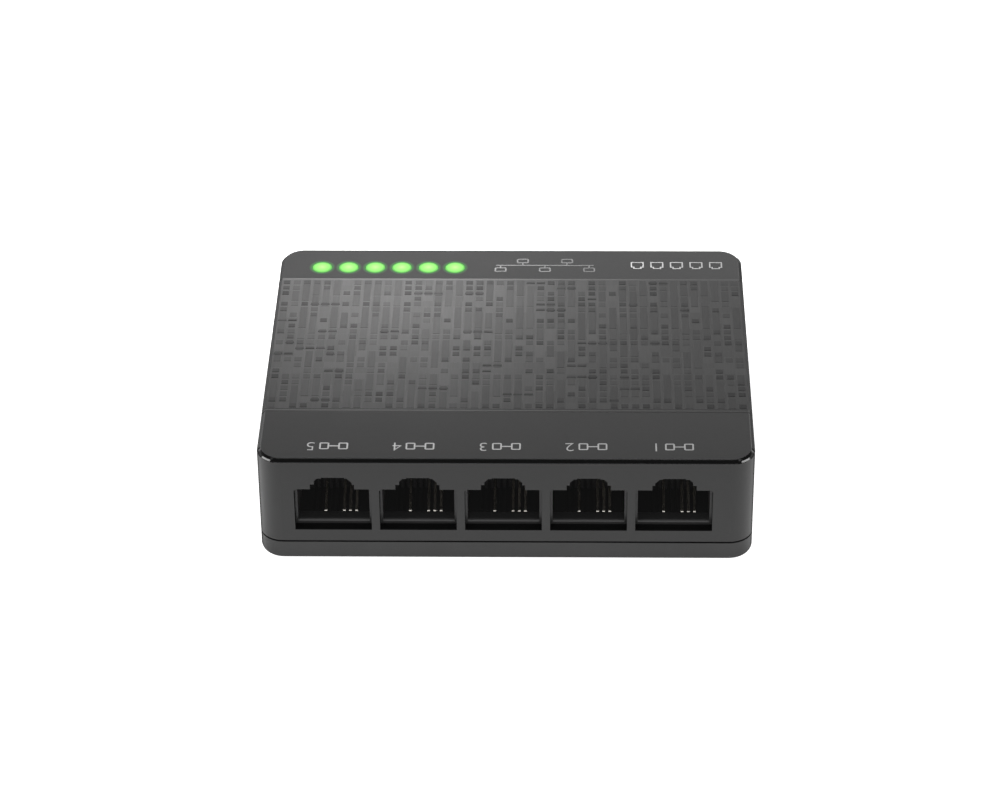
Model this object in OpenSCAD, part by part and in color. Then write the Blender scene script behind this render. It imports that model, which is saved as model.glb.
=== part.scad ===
// Desktop network switch with five modular jacks in one long side and six
// indicator lenses along the opposite edge of its top deck.
// Origin: centre of the footprint, on the plane that the feet rest on.
// +Z is up, the jacks face -Y, and the power inlet faces +X. Millimetres.

/* [Case] */
// Overall width of the case
case_w = 81.4; // [81:0.1:84]
// Overall depth of the case
case_d = 66; // [65.5:0.5:70]
// Height of the closed case, without its feet
case_h = 20; // [19.8:0.1:21.6]
// Radius of the four upright corners
corner_r = 4; // [3:0.5:5]
// Wall thickness of both covers
wall = 1.8; // [1.7:0.1:1.9]
// Width of the polished bevel round the top deck
deck_bevel = 0.65; // [0.3:0.05:0.8]
// Height of the bottom cover's visible side
base_side_h = 3.6; // [3.3:0.1:3.7]
// Rounding of the bottom cover's lower edges
base_round = 1.2; // [0.6:0.1:1.5]
// Height that the feet lift the case off the table
foot_lift = 1; // [0.8:0.1:1.5]

/* [Deck] */
// Width of the smooth strip that holds the lenses
lens_strip_w = 10.2; // [9.5:0.1:11]
// Width of the smooth strip above the jacks
jack_strip_w = 14.2; // [12:0.1:16]
// Height of the mosaic band above the smooth strips
band_rise = 0.04; // [0.02:0.01:0.2]
// Number of indicator lenses
lens_count = 6; // [3:1:6]
// Distance between lens centres
lens_pitch = 4.69; // [4.5:0.01:4.8]
// Diameter of a lens
lens_d = 3.4; // [2.8:0.1:3.5]
// X of the first lens
first_lens_x = -33.3; // [-33.5:0.1:-32.5]
// Distance from the case's rear face to the lens centres
lens_inset = 6.4; // [5.8:0.1:6.6]

/* [Jacks] */
// Distance between jack centres
jack_pitch = 13.97; // [13.8:0.01:14.1]
// X of the middle of the jack row
jack_row_x = -0.4; // [-0.5:0.1:0.5]
// Width of a jack's opening in the case
opening_w = 12.6; // [12.2:0.1:12.8]
// Height of the opening below its latch notch
opening_h = 8.1; // [7.9:0.1:8.3]
// Width of the latch notch
notch_w = 7.2; // [6.6:0.1:7.4]
// Height of the latch notch
notch_h = 2.3; // [2.2:0.05:2.4]
// Rise of a contact spring above the jack's floor, in degrees
spring_rise = 27; // [22:1:30]

/* [Board] */
// Thickness of the circuit board
board_t = 1.2; // [1:0.1:1.2]
// Height of the board's lower face above the inside of the bottom cover
board_lift = 2.6; // [2.5:0.1:2.7]

/* [Hidden] */
$fn = 48;

clear = 0.1;            // gap between fitted parts
over = 1;               // how far a cut runs on past a surface
bury = 0.5;             // how far shapes that join reach into each other
skin = 0.6;             // plastic left at the end of a blind hole
press_gap = 0.03;       // round pressed pins and in screw pilot holes
case_z0 = foot_lift;    // underside of the case
case_z1 = case_z0 + case_h;
seam_z = case_z0 + base_side_h;
seam_gap = 0.3;         // shadow line between the covers
floor_z = case_z0 + wall;
roof_z = case_z1 - wall;
board_z0 = floor_z + board_lift;
board_z1 = board_z0 + board_t;
rear_y = case_d / 2;
front_y = -case_d / 2;
side_x = case_w / 2;
band_y0 = front_y + jack_strip_w;
band_y1 = rear_y - lens_strip_w;
post_gap = 0.05;        // posts and bosses stop this short of the board

// Bottom cover
rim_t = 1;              // lip inside the top cover's walls
rim_in = wall + clear + rim_t;
rim_z = board_z0 + 1;
rim_corner_r = 1.2;
tongue_w = 6;
tongue_z = board_z1 + 3.8;
catch_h = 0.9;
catch_out = 0.45;
catch_flat = 0.3;
catch_gap = 0.25;       // round a catch in its pocket
side_tongue_y = -22;
rear_tongue_x = 20;
support_at = [[29.5, 27.5], [16, -27.6]];   // plain posts under the board
support_r = 1.4;
case_post_r = 3.4;
board_post_r = 2.6;
foot_r = 4.2;
foot_t = 1.6;
foot_edge = 0.4;
foot_gap = 0.15;
foot_at = [31.3, 25];
plate_size = [50, 22, 0.2];
plate_y = -9;
plate_gap = 0.2;
plate_recess = 0.3;
keyhole_at = [24, 9];   // X either side of the middle, and Y
keyhole_r = 3.3;
keyslot_r = 1.75;
keyslot_run = 5.5;
vent_count = 9;
vent_size = [1.4, 11];
vent_pitch = 3;
vent_y = 20.5;

// Fasteners
screw_r = 1.25;
screw_point = 1.2;
screw_tip_r = 0.5;
pilot_r = screw_r + press_gap;
pass_gap = 0.2;         // round a screw that passes through
head_r = 2.4;
head_h = 1.5;
head_edge = 0.4;
head_gap = 0.3;
recess_r = 0.9;
recess_w = 0.5;
recess_h = 0.8;
boss_r = 2.8;
case_screw_at = [34.6, 17.8];
case_screw_z = case_z0 + 0.5;
case_screw_l = 11;
board_screw_at = [34.4, -2];
board_screw_l = 3.6;

// Circuit board
board_w = case_w - 2 * (wall + clear + rim_t) - 0.6;
board_d = case_d - 2 * (wall + clear + rim_t) - 0.6;
board_corner_r = 1.5;
tail_end_z = board_z0 - 1.3;

// Jacks
jack_count = 5;
jack_y0 = front_y + wall + clear;
opening_z = board_z1 + 0.5;
opening_chamfer = 0.35; // cuts across its two upper corners
notch_chamfer = 1.35;
housing_z0 = board_z1 + post_gap;
housing_h = 11.5;
housing_l = 15.2;
housing_w = jack_pitch * jack_count + 0.6;
cavity_w = 11.8;
cavity_z0 = opening_z + 0.8;
cavity_h = 6.9;
cavity_l = 11.2;
latch_steps = [[6.2, 1.2], [3.8, 1]];
latch_l = 10;
lip_l = 2.2;
lip_round = 0.5;        // rounding of the front edge of a jack's floor
peg_r = 1;
peg_l = 8.9;
contact_pitch = 1.016;
contact_slots = 8;
contact_used = [-1.5, 1.5, 2.5, 3.5];   // the four wired positions of the eight
contact_w = 0.46;
contact_t = 0.35;
bend_in_r = 0.2;
bend_out_r = bend_in_r + contact_t;
bend_y = jack_y0 + 3.2;
bend_z = cavity_z0 - 0.55;
bend_under = 8;         // degrees that the bend runs on under the arm
nose_gap = 0.03;        // between a bend and the nose that it turns on
spring_l = 7.9;
slot_w = contact_w + 0.1;
carrier_w = cavity_w - 2 * clear;
carrier_y0 = bend_y - 0.75;
carrier_rear_y = jack_y0 + cavity_l;
carrier_y1 = carrier_rear_y + 3.7;
carrier_top_z = bend_z + bend_out_r - 0.1;
carrier_rear_z = carrier_top_z + 4.4;
comb_l = 2;
tail_rows = [carrier_rear_y + 0.3, carrier_rear_y + 2.84];
tail_hole_r = 0.45;

// Power inlet
inlet_y = 8;
inlet_z = board_z1 + 6.3;
inlet_w = 9;
inlet_h = 11;
inlet_bore_r = 3.2;
inlet_ring_r = 4.1;
inlet_x0 = side_x - wall - clear - 11.8;
inlet_x1 = side_x - wall - clear;
inlet_bore_l = 9.8;
inlet_bore_x = side_x - inlet_bore_l;
inlet_pin_r = 1;
inlet_pin_l = 8.9;
inlet_pin_tip = 0.4;
inlet_tail_r = 0.8;     // the pin's thinner rear end
inlet_tail_out = 0.4;
leaf_w = 2.4;
leaf_t = 0.3;
leaf_roll_r = 0.35;
leaf_gap = 0.15;
leaf_room = [0.8, 0.6, 1.5];            // behind the roll, past the tip, and under the tip
leaf_hinge = [side_x - 10.3, inlet_z - 3.9];
leaf_bump = [side_x - 5.4, inlet_z - 2.4];
leaf_tip = [side_x - 3.6, inlet_z - 3.5];
inlet_tabs = [[inlet_x0 - 0.35, 0], [leaf_hinge[0] - 0.1, 0], [inlet_x0 + 6, 5.6]];   // X, and Y from inlet_y
tab_t = 0.3;
tab_w = 2;
tab_gap = 0.25;
side_tab_h = 3;

// Lenses
lens_y = rear_y - lens_inset;
lens_gap = 0.05;
lens_hole_r = lens_d / 2 + lens_gap;
lens_foot_z = board_z1 + 1.4;
guide_bar = [2, 1.6];
guide_bar_z = board_z1 + 6.6;
guide_ears = [0.5, lens_count - 1.5];   // in lens pitches from the first lens
guide_ear_y = lens_y - 3.2;
guide_ear_r = 1.5;
guide_pin_r = 0.75;
guide_pin_reach = 0.8;  // below the top of the guide's bar

// Components on the board. A lead is its width, reach, foot, thickness and height.
stand_off = 0.1;        // under a moulded package
chip_at = [-4, 6];
chip_size = [10, 10, 1.4];
chip_dot = [3.8, 0.5];  // distance from the middle, and radius
chip_leads = 16;
chip_lead_pitch = 0.5;
chip_lead = [0.22, 1, 0.5, 0.13, 0.85];
coil_block = [12.6, 6.8, 4];
coil_y = -9.7;
coil_leads = 8;
coil_lead_pitch = 1.27;
coil_lead = [0.5, 1.3, 0.7, 0.2, 1.9];
crystal_at = [-19, 6];
crystal_size = [6.6, 3.8, 2.8];         // between its round ends, across, and up
crystal_base_h = 0.7;
crystal_base_rim = 0.35;
can_at = [[15, 21, 3.15], [22.5, 20, 2.5]];   // X, Y and radius
can_h = 8;
can_seal_h = 1.2;
can_seal_in = 0.3;
can_lead_x = 1.25;
can_lead_r = 0.3;
inductor_at = [12, 10];
inductor_w = 6;
inductor_h = 2.8;
inductor_well_r = 2.4;
inductor_core_r = 1.4;
inductor_flange = [2.3, 0.6];           // radius and thickness
inductor_floor = 0.6;
regulator_at = [19.5, 12.5];
regulator_size = [2.9, 1.6, 1.1];
regulator_lead_pitch = 0.95;
regulator_lead = [0.4, 0.6, 0.3, 0.12, 0.6];
diode_at = [20.5, 5];
diode_size = [4.3, 2.6, 2.1];
led_size = [2, 1.25, 0.8];
resistor_size = [1.6, 0.8, 0.45];
resistor_count = 4;     // behind each transformer
resistor_pitch = 2;
resistor_y = -3.2;
led_resistor_y = lens_y - 4.2;
chip_capacitor_size = [1.6, 0.8, 0.7];
chip_capacitor_x = 7.6; // from the chip's middle
bulk_capacitor_size = [1.2, 2, 0.9];
bulk_capacitor_at = [[10.5, 4.4], [13.5, 4.4]];

function jack_x(i) = jack_row_x + (i - (jack_count + 1) / 2) * jack_pitch;
function lens_x(i) = first_lens_x + i * lens_pitch;

// ---- Shared shapes ----

// Draws its children, made in Y and Z, as a bar from x0 to x1.
module along_x(x0, x1) {
  translate([x0, 0, 0]) rotate([90, 0, 90]) linear_extrude(x1 - x0) children();
}

// Draws its children, made in X and Z, as a bar from y0 to y1.
module along_y(y0, y1) {
  translate([0, y1, 0]) rotate([90, 0, 0]) linear_extrude(y1 - y0) children();
}

module span(x0, x1, y0, y1) {
  translate([x0, y0]) square([x1 - x0, y1 - y0]);
}

module block(x0, x1, y0, y1, z0, z1) {
  translate([x0, y0, z0]) cube([x1 - x0, y1 - y0, z1 - z0]);
}

// A block centred on the point at and standing on z0.
module part_block(at, size, z0) {
  translate([at[0] - size[0] / 2, at[1] - size[1] / 2, z0]) cube(size);
}

module post(x, y, r, z0, z1) {
  translate([x, y, z0]) cylinder(r = r, h = z1 - z0);
}

module rounded_rect(w, d, r) {
  square([w - 2 * r, d], center = true);
  square([w, d - 2 * r], center = true);
  for (x = [-1, 1], y = [-1, 1])
    translate([x * (w / 2 - r), y * (d / 2 - r)]) circle(r = r);
}

module upright_block(w, d, r, z0, z1) {
  translate([0, 0, z0]) linear_extrude(z1 - z0) rounded_rect(w, d, r);
}

// A rounded slab whose sides slope in by b over its height b.
module bevel_slab(w, d, r, b) {
  along_y(-d / 2 + r, d / 2 - r)
    polygon([[-w / 2, 0], [w / 2, 0], [w / 2 - b, b], [b - w / 2, b]]);
  along_x(-w / 2 + r, w / 2 - r)
    polygon([[-d / 2, 0], [d / 2, 0], [d / 2 - b, b], [b - d / 2, b]]);
  for (x = [-1, 1], y = [-1, 1])
    translate([x * (w / 2 - r), y * (d / 2 - r), 0])
      cylinder(r1 = r, r2 = r - b, h = b);
}

// Side view of a slab b high, its two lower corners rounded.
module round_foot(w, b) {
  intersection() {
    translate([-w / 2, 0]) square([w, b]);
    union() {
      translate([b - w / 2, 0]) square([w - 2 * b, b]);
      for (s = [-1, 1]) translate([s * (w / 2 - b), b]) circle(r = b);
    }
  }
}

// A rounded slab b high, whose lower edges are rounded with radius b.
module round_slab(w, d, r, b) {
  along_y(-d / 2 + r, d / 2 - r) round_foot(w, b);
  along_x(-w / 2 + r, w / 2 - r) round_foot(d, b);
  for (x = [-1, 1], y = [-1, 1])
    translate([x * (w / 2 - r), y * (d / 2 - r), 0])
      rotate_extrude() intersection() {
        round_foot(2 * r, b);
        square([r, b]);
      }
}

module mirrored_x() {
  children();
  mirror([1, 0, 0]) children();
}

// ---- Covers ----

module opening_profile() {
  b = opening_chamfer;
  c = notch_chamfer;
  h = opening_w / 2;
  n = notch_w / 2;
  top = opening_h + notch_h;
  polygon([
    [-h, 0], [h, 0], [h, opening_h - b], [h - b, opening_h],
    [n, opening_h], [n, top - c], [n - c, top],
    [c - n, top], [-n, top - c], [-n, opening_h],
    [b - h, opening_h], [-h, opening_h - b]
  ]);
}

module jack_openings() {
  for (i = [1:jack_count])
    translate([jack_x(i), 0, opening_z])
      along_y(front_y - over, front_y + wall + over) opening_profile();
}

module lens_holes() {
  for (i = [0:lens_count - 1])
    post(lens_x(i), lens_y, lens_hole_r, roof_z - over, case_z1 + over);
}

// A thin raised band that follows the bevel down to the case's sides.
module deck_band() {
  z0 = case_z1 - deck_bevel;
  z1 = case_z1 + band_rise;
  flat = side_x - deck_bevel;
  along_y(band_y0, band_y1)
    polygon([
      [-side_x, z0], [side_x, z0], [side_x, z0 + band_rise], [flat, z1],
      [-flat, z1], [-side_x, z0 + band_rise]
    ]);
}

module top_outside() {
  upright_block(case_w, case_d, corner_r, seam_z + seam_gap, case_z1 - deck_bevel);
  translate([0, 0, case_z1 - deck_bevel])
    bevel_slab(case_w, case_d, corner_r, deck_bevel);
  deck_band();
}

module screw_boss() {
  difference() {
    post(case_screw_at[0], case_screw_at[1], boss_r, board_z1 + post_gap, roof_z + bury);
    post(case_screw_at[0], case_screw_at[1], pilot_r, board_z1 - over, roof_z - skin);
  }
}

module guide_pins() {
  for (n = guide_ears)
    post(lens_x(n), guide_ear_y, guide_pin_r, guide_bar_z - guide_pin_reach, roof_z + bury);
}

// Pockets inside the walls that the bottom cover's catches click into.
module catch_pockets() {
  z0 = tongue_z - catch_h - catch_gap;
  z1 = tongue_z + catch_gap;
  reach = catch_out + catch_gap;
  half = tongue_w / 2 + catch_gap;
  mirrored_x() {
    block(side_x - wall - over, side_x - wall + reach,
      side_tongue_y - half, side_tongue_y + half, z0, z1);
    block(rear_tongue_x - half, rear_tongue_x + half,
      rear_y - wall - over, rear_y - wall + reach, z0, z1);
  }
}

module top_cover() {
  color("#3c3c3e") union() {
    difference() {
      top_outside();
      upright_block(case_w - 2 * wall, case_d - 2 * wall, corner_r - wall, seam_z - over, roof_z);
      jack_openings();
      lens_holes();
      catch_pockets();
      along_inlet(side_x - wall - over) cylinder(r = inlet_ring_r + clear, h = wall + 2 * over);
    }
    mirrored_x() screw_boss();
    guide_pins();
  }
}

module catch_tongue() {
  t = rim_t;
  polygon([
    [0, rim_z - bury], [t, rim_z - bury], [t, tongue_z - catch_h - clear],
    [t + catch_out, tongue_z - catch_h], [t + catch_out, tongue_z - catch_h + catch_flat],
    [t, tongue_z], [0, tongue_z]
  ]);
}

module base_tongues() {
  half = tongue_w / 2;
  mirrored_x() {
    translate([side_x - rim_in, 0, 0])
      along_y(side_tongue_y - half, side_tongue_y + half) catch_tongue();
    translate([0, rear_y - rim_in, 0])
      along_x(rear_tongue_x - half, rear_tongue_x + half) catch_tongue();
  }
}

module keyhole() {
  h = wall + 2 * over;
  translate([keyhole_at[0], keyhole_at[1], case_z0 - over]) {
    cylinder(r = keyhole_r, h = h);
    translate([-keyslot_r, 0, 0]) cube([2 * keyslot_r, keyslot_run, h]);
    translate([0, keyslot_run, 0]) cylinder(r = keyslot_r, h = h);
  }
}

module vents() {
  for (i = [0:vent_count - 1]) {
    x = (i - (vent_count - 1) / 2) * vent_pitch;
    r = vent_size[0] / 2;
    half = vent_size[1] / 2 - r;
    block(x - r, x + r, vent_y - half, vent_y + half, case_z0 - over, floor_z + over);
    for (s = [-1, 1])
      post(x, vent_y + s * half, r, case_z0 - over, floor_z + over);
  }
}

module base_solid() {
  translate([0, 0, case_z0]) round_slab(case_w, case_d, corner_r, base_round);
  upright_block(case_w, case_d, corner_r, case_z0 + base_round, seam_z);
  upright_block(case_w - 2 * (wall + clear), case_d - 2 * (wall + clear),
    corner_r - wall, seam_z - bury, rim_z);
}

module board_posts() {
  top = board_z0 - post_gap;
  mirrored_x() {
    post(case_screw_at[0], case_screw_at[1], case_post_r, floor_z - bury, top);
    post(board_screw_at[0], board_screw_at[1], board_post_r, floor_z - bury, top);
    for (at = support_at)
      post(at[0], at[1], support_r, floor_z - bury, top);
  }
}

module bottom_cover() {
  low = case_z0 - over;
  color("#414143") difference() {
    union() {
      difference() {
        base_solid();
        upright_block(case_w - 2 * rim_in, case_d - 2 * rim_in, rim_corner_r, floor_z, rim_z + over);
      }
      board_posts();
      base_tongues();
    }
    mirrored_x() {
      for (s = [-1, 1])
        post(foot_at[0], s * foot_at[1], foot_r + foot_gap, low, foot_t);
      post(case_screw_at[0], case_screw_at[1], head_r + head_gap, low, case_screw_z + head_h);
      post(case_screw_at[0], case_screw_at[1], screw_r + pass_gap, case_z0, board_z0 + over);
      post(board_screw_at[0], board_screw_at[1], pilot_r, case_z0 + skin, board_z0 + over);
      keyhole();
    }
    vents();
    translate([0, plate_y, low])
      linear_extrude(over + plate_recess)
        square([plate_size[0] + 2 * plate_gap, plate_size[1] + 2 * plate_gap], center = true);
  }
}

module rubber_feet() {
  color("#1d1d1e") for (x = [-1, 1], y = [-1, 1])
    translate([x * foot_at[0], y * foot_at[1], 0]) {
      cylinder(r1 = foot_r - foot_edge, r2 = foot_r, h = foot_edge);
      translate([0, 0, foot_edge]) cylinder(r = foot_r, h = foot_t - foot_edge);
    }
}

module rating_plate() {
  color("#c9cacb") part_block([0, plate_y], plate_size, case_z0 + plate_recess - plate_size[2]);
}

// ---- Fasteners ----

// A pan-head screw pointing up, its head's underside at z = 0.
module pan_screw(l) {
  difference() {
    union() {
      cylinder(r = screw_r, h = l - screw_point);
      translate([0, 0, l - screw_point]) cylinder(r1 = screw_r, r2 = screw_tip_r, h = screw_point);
      translate([0, 0, head_edge - head_h]) cylinder(r = head_r, h = head_h - head_edge);
      translate([0, 0, -head_h]) cylinder(r1 = head_r - head_edge, r2 = head_r, h = head_edge);
    }
    for (a = [0, 90])
      rotate([0, 0, a])
        translate([-recess_r, -recess_w / 2, -head_h - over])
          cube([2 * recess_r, recess_w, recess_h + over]);
  }
}

module case_screws() {
  color("silver") mirrored_x()
    translate([case_screw_at[0], case_screw_at[1], case_screw_z + head_h])
      pan_screw(case_screw_l);
}

module board_screws() {
  color("silver") mirrored_x()
    translate([board_screw_at[0], board_screw_at[1], board_z1]) mirror([0, 0, 1])
      pan_screw(board_screw_l);
}

// ---- Light guide ----

module light_guide() {
  x0 = lens_x(0);
  x1 = lens_x(lens_count - 1);
  z0 = guide_bar_z;
  z1 = guide_bar_z + guide_bar[1];
  color("#8fe88a") difference() {
    union() {
      for (i = [0:lens_count - 1])
        post(lens_x(i), lens_y, lens_d / 2, lens_foot_z, case_z1);
      block(x0, x1, lens_y - guide_bar[0] / 2, lens_y + guide_bar[0] / 2, z0, z1);
      for (n = guide_ears) {
        block(lens_x(n) - guide_bar[0] / 2, lens_x(n) + guide_bar[0] / 2, guide_ear_y, lens_y, z0, z1);
        post(lens_x(n), guide_ear_y, guide_ear_r, z0, z1);
      }
    }
    for (n = guide_ears)
      post(lens_x(n), guide_ear_y, guide_pin_r + lens_gap, z0 - over, z1 + over);
  }
}

// ---- Circuit board ----

module peg_places() {
  for (i = [1:jack_count - 1])
    translate([jack_x(i) + jack_pitch / 2, jack_y0 + peg_l, 0]) children();
}

module tail_places() {
  for (i = [1:jack_count], k = [0:3])
    translate([jack_x(i) + contact_used[k] * contact_pitch, tail_rows[k % 2], 0]) children();
}

module circuit_board() {
  h = board_t + 2 * over;
  color("#1e5c34") difference() {
    upright_block(board_w, board_d, board_corner_r, board_z0, board_z1);
    translate([0, 0, board_z0 - over]) {
      tail_places() cylinder(r = tail_hole_r, h = h);
      peg_places() cylinder(r = peg_r + clear, h = h);
      mirrored_x() {
        translate(case_screw_at) cylinder(r = screw_r + pass_gap, h = h);
        translate(board_screw_at) cylinder(r = screw_r + pass_gap, h = h);
      }
      for (c = can_at, s = [-1, 1])
        translate([c[0] + s * can_lead_x, c[1], 0]) cylinder(r = can_lead_r + clear, h = h);
      for (t = inlet_tabs)
        part_block([t[0], inlet_y + t[1]], [tab_t + 2 * tab_gap, tab_w + 2 * tab_gap, h], 0);
    }
  }
}

// ---- Jacks ----

module jack_housing() {
  x0 = jack_row_x - housing_w / 2;
  x1 = jack_row_x + housing_w / 2;
  end_y = jack_y0 + housing_l + over;
  top_z = cavity_z0 + cavity_h;
  color("#161617") union() {
    difference() {
      block(x0, x1, jack_y0, jack_y0 + housing_l, housing_z0, housing_z0 + housing_h);
      for (i = [1:jack_count]) translate([jack_x(i), 0, 0]) {
        along_y(jack_y0 - over, jack_y0 + cavity_l)
          span(-cavity_w / 2, cavity_w / 2, cavity_z0, top_z);
        along_y(jack_y0 - over, jack_y0 + latch_l) {
          span(-latch_steps[0][0] / 2, latch_steps[0][0] / 2, top_z - over, top_z + latch_steps[0][1]);
          span(-latch_steps[1][0] / 2, latch_steps[1][0] / 2, top_z - over,
            top_z + latch_steps[0][1] + latch_steps[1][1]);
        }
        along_x(-cavity_w / 2, cavity_w / 2) {
          span(jack_y0 + lip_l, end_y, housing_z0 - over, cavity_z0 + over);
          span(carrier_rear_y - over, end_y, housing_z0 - over, carrier_rear_z + clear);
          difference() {
            span(jack_y0 - over, jack_y0 + lip_round, cavity_z0 - lip_round, cavity_z0 + over);
            translate([jack_y0 + lip_round, cavity_z0 - lip_round]) circle(r = lip_round);
          }
        }
      }
    }
    translate([0, 0, tail_end_z + bury]) peg_places() cylinder(r = peg_r, h = housing_z0 - tail_end_z);
  }
}

// Side view of the carrier, in Y and Z.
module carrier_profile() {
  span(carrier_y0, carrier_y1, housing_z0, carrier_top_z);
  span(carrier_rear_y - comb_l, carrier_y1, housing_z0, carrier_rear_z);
}

// Side view of the room that one contact needs, in Y and Z. The nose left at
// the bend is what the spring turns about.
module contact_channel(y_end) {
  slab = bend_in_r - nose_gap;
  difference() {
    polygon([
      [carrier_y0 - over, housing_z0 - over], [y_end, housing_z0 - over],
      [y_end, bend_z - slab], [bend_y, bend_z - slab],
      [bend_y, bend_z + slab], [carrier_rear_y, bend_z + slab],
      [carrier_rear_y, carrier_rear_z + over], [carrier_y0 - over, carrier_rear_z + over]
    ]);
    translate([bend_y, bend_z]) circle(r = slab);
  }
}

module contact_carrier(i) {
  color("#101011") translate([jack_x(i), 0, 0]) difference() {
    along_x(-carrier_w / 2, carrier_w / 2) carrier_profile();
    for (k = [0:contact_slots - 1]) {
      place = k - (contact_slots - 1) / 2;
      used = [for (n = [0:3]) if (contact_used[n] == place) tail_rows[n % 2] + contact_t];
      translate([place * contact_pitch, 0, 0])
        along_x(-slot_w / 2, slot_w / 2)
          contact_channel(len(used) > 0 ? used[0] : carrier_rear_y - comb_l);
    }
  }
}

// The bend and the sloping arm of one contact, in Y and Z.
module spring_profile() {
  a = spring_rise;
  b = a - bend_under;
  far = 2 * bend_out_r;
  translate([bend_y, bend_z]) {
    difference() {
      circle(r = bend_out_r);
      circle(r = bend_in_r);
      polygon([[0, 0], [0, -far], [far, -far], [far, far], [0, far], far * [-sin(b), cos(b)]]);
    }
    rotate(a) translate([0, bend_in_r]) {
      square([spring_l, contact_t]);
      translate([spring_l, contact_t / 2]) circle(r = contact_t / 2);
    }
  }
}

module contact_springs(i) {
  color("gold") for (c = contact_used)
    translate([jack_x(i) + c * contact_pitch, 0, 0])
      along_x(-contact_w / 2, contact_w / 2) spring_profile();
}

module contact_tails() {
  z1 = bend_z - bend_in_r;
  z0 = z1 - contact_t;
  color("gold") for (i = [1:jack_count], k = [0:3]) {
    row = tail_rows[k % 2];
    translate([jack_x(i) + contact_used[k] * contact_pitch, 0, 0])
      along_x(-contact_w / 2, contact_w / 2) {
        span(bend_y, row + contact_t / 2, z0, z1);
        span(row - contact_t / 2, row + contact_t / 2, tail_end_z, z1);
      }
  }
}

// ---- Power inlet ----

module along_inlet(x) {
  translate([x, inlet_y, inlet_z]) rotate([0, 90, 0]) children();
}

module power_jack_body() {
  slot = leaf_w / 2 + leaf_gap;
  slot_x0 = leaf_hinge[0] - leaf_room[0];
  color("#161617") difference() {
    union() {
      block(inlet_x0, inlet_x1, inlet_y - inlet_w / 2, inlet_y + inlet_w / 2,
        housing_z0, housing_z0 + inlet_h);
      along_inlet(inlet_x1 - bury) cylinder(r = inlet_ring_r, h = side_x - inlet_x1 + bury);
    }
    along_inlet(inlet_bore_x) cylinder(r = inlet_bore_r, h = inlet_bore_l + over);
    along_inlet(inlet_x0 - over)
      cylinder(r = inlet_tail_r + press_gap, h = inlet_bore_x - inlet_x0 + 2 * over);
    block(slot_x0, leaf_tip[0] + leaf_room[1], inlet_y - slot, inlet_y + slot,
      leaf_tip[1] - leaf_room[2], inlet_z - inlet_bore_r + bury);
    block(slot_x0, leaf_hinge[0] + leaf_room[1], inlet_y - slot, inlet_y + slot,
      housing_z0 - over, leaf_hinge[1]);
  }
}

module power_jack_pin() {
  color("silver") {
    along_inlet(inlet_x0 - inlet_tail_out)
      cylinder(r = inlet_tail_r, h = inlet_bore_x - inlet_x0 + inlet_tail_out + bury);
    along_inlet(inlet_bore_x) cylinder(r = inlet_pin_r, h = inlet_pin_l);
    along_inlet(inlet_bore_x + inlet_pin_l)
      cylinder(r1 = inlet_pin_r, r2 = inlet_pin_r - inlet_pin_tip, h = inlet_pin_tip);
  }
}

// One straight piece of the leaf between two points in X and Z.
module leaf_run(a, b) {
  d = b - a;
  translate(a) rotate(atan2(d[1], d[0]))
    translate([0, -leaf_t / 2]) square([norm(d), leaf_t]);
}

module power_jack_spring() {
  color("#d8c9a0") translate([0, inlet_y, 0]) along_y(-leaf_w / 2, leaf_w / 2) {
    translate(leaf_hinge) circle(r = leaf_roll_r);
    leaf_run(leaf_hinge, leaf_bump);
    translate(leaf_bump) circle(r = leaf_t / 2);
    leaf_run(leaf_bump, leaf_tip);
  }
}

module power_jack_terminals() {
  tops = [inlet_z - inlet_tail_r - post_gap, leaf_hinge[1] - leaf_roll_r - clear, board_z1 + side_tab_h];
  color("silver") for (k = [0:2]) {
    t = inlet_tabs[k];
    part_block([t[0], inlet_y + t[1]], [tab_t, tab_w, tops[k] - tail_end_z], tail_end_z);
  }
}

// ---- Components on the board ----

// Side view of a gull-wing lead that leaves its package at y = 0, in Y and Z.
module gull_profile(lead) {
  knee = lead[1] - lead[2];
  t = lead[3];
  z_in = lead[4];
  span(0, knee, z_in - t, z_in);
  span(knee - t, knee, 0, z_in);
  span(knee - t, lead[1], 0, t);
}

// A row of gull-wing leads that run towards +Y from y = 0.
module gull_row(count, pitch, lead) {
  for (k = [0:count - 1])
    translate([(k - (count - 1) / 2) * pitch, 0, 0])
      along_x(-lead[0] / 2, lead[0] / 2) gull_profile(lead);
}

module switch_chip() {
  color("#232325") difference() {
    part_block(chip_at, chip_size, board_z1 + stand_off);
    translate([chip_at[0] - chip_dot[0], chip_at[1] + chip_dot[0], board_z1 + chip_size[2]])
      cylinder(r = chip_dot[1], h = over);
  }
}

module switch_chip_leads() {
  color("silver") translate([chip_at[0], chip_at[1], board_z1])
    for (a = [0:90:270]) rotate([0, 0, a]) translate([0, chip_size[1] / 2, 0])
      gull_row(chip_leads, chip_lead_pitch, chip_lead);
}

module transformers() {
  color("#1b1b1d") for (i = [1:jack_count])
    part_block([jack_x(i), coil_y], coil_block, board_z1 + stand_off);
}

module transformer_leads() {
  color("silver") for (i = [1:jack_count], a = [0, 180])
    translate([jack_x(i), coil_y, board_z1]) rotate([0, 0, a])
      translate([0, coil_block[1] / 2, 0])
        gull_row(coil_leads, coil_lead_pitch, coil_lead);
}

module crystal_outline(grow) {
  translate(crystal_at) {
    square([crystal_size[0], crystal_size[1] + 2 * grow], center = true);
    for (s = [-1, 1]) translate([s * crystal_size[0] / 2, 0]) circle(r = crystal_size[1] / 2 + grow);
  }
}

module crystal() {
  color("silver") translate([0, 0, board_z1 + crystal_base_h])
    linear_extrude(crystal_size[2]) crystal_outline(0);
}

module crystal_base() {
  color("#2a2a2c") translate([0, 0, board_z1])
    linear_extrude(crystal_base_h) crystal_outline(crystal_base_rim);
}

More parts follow.
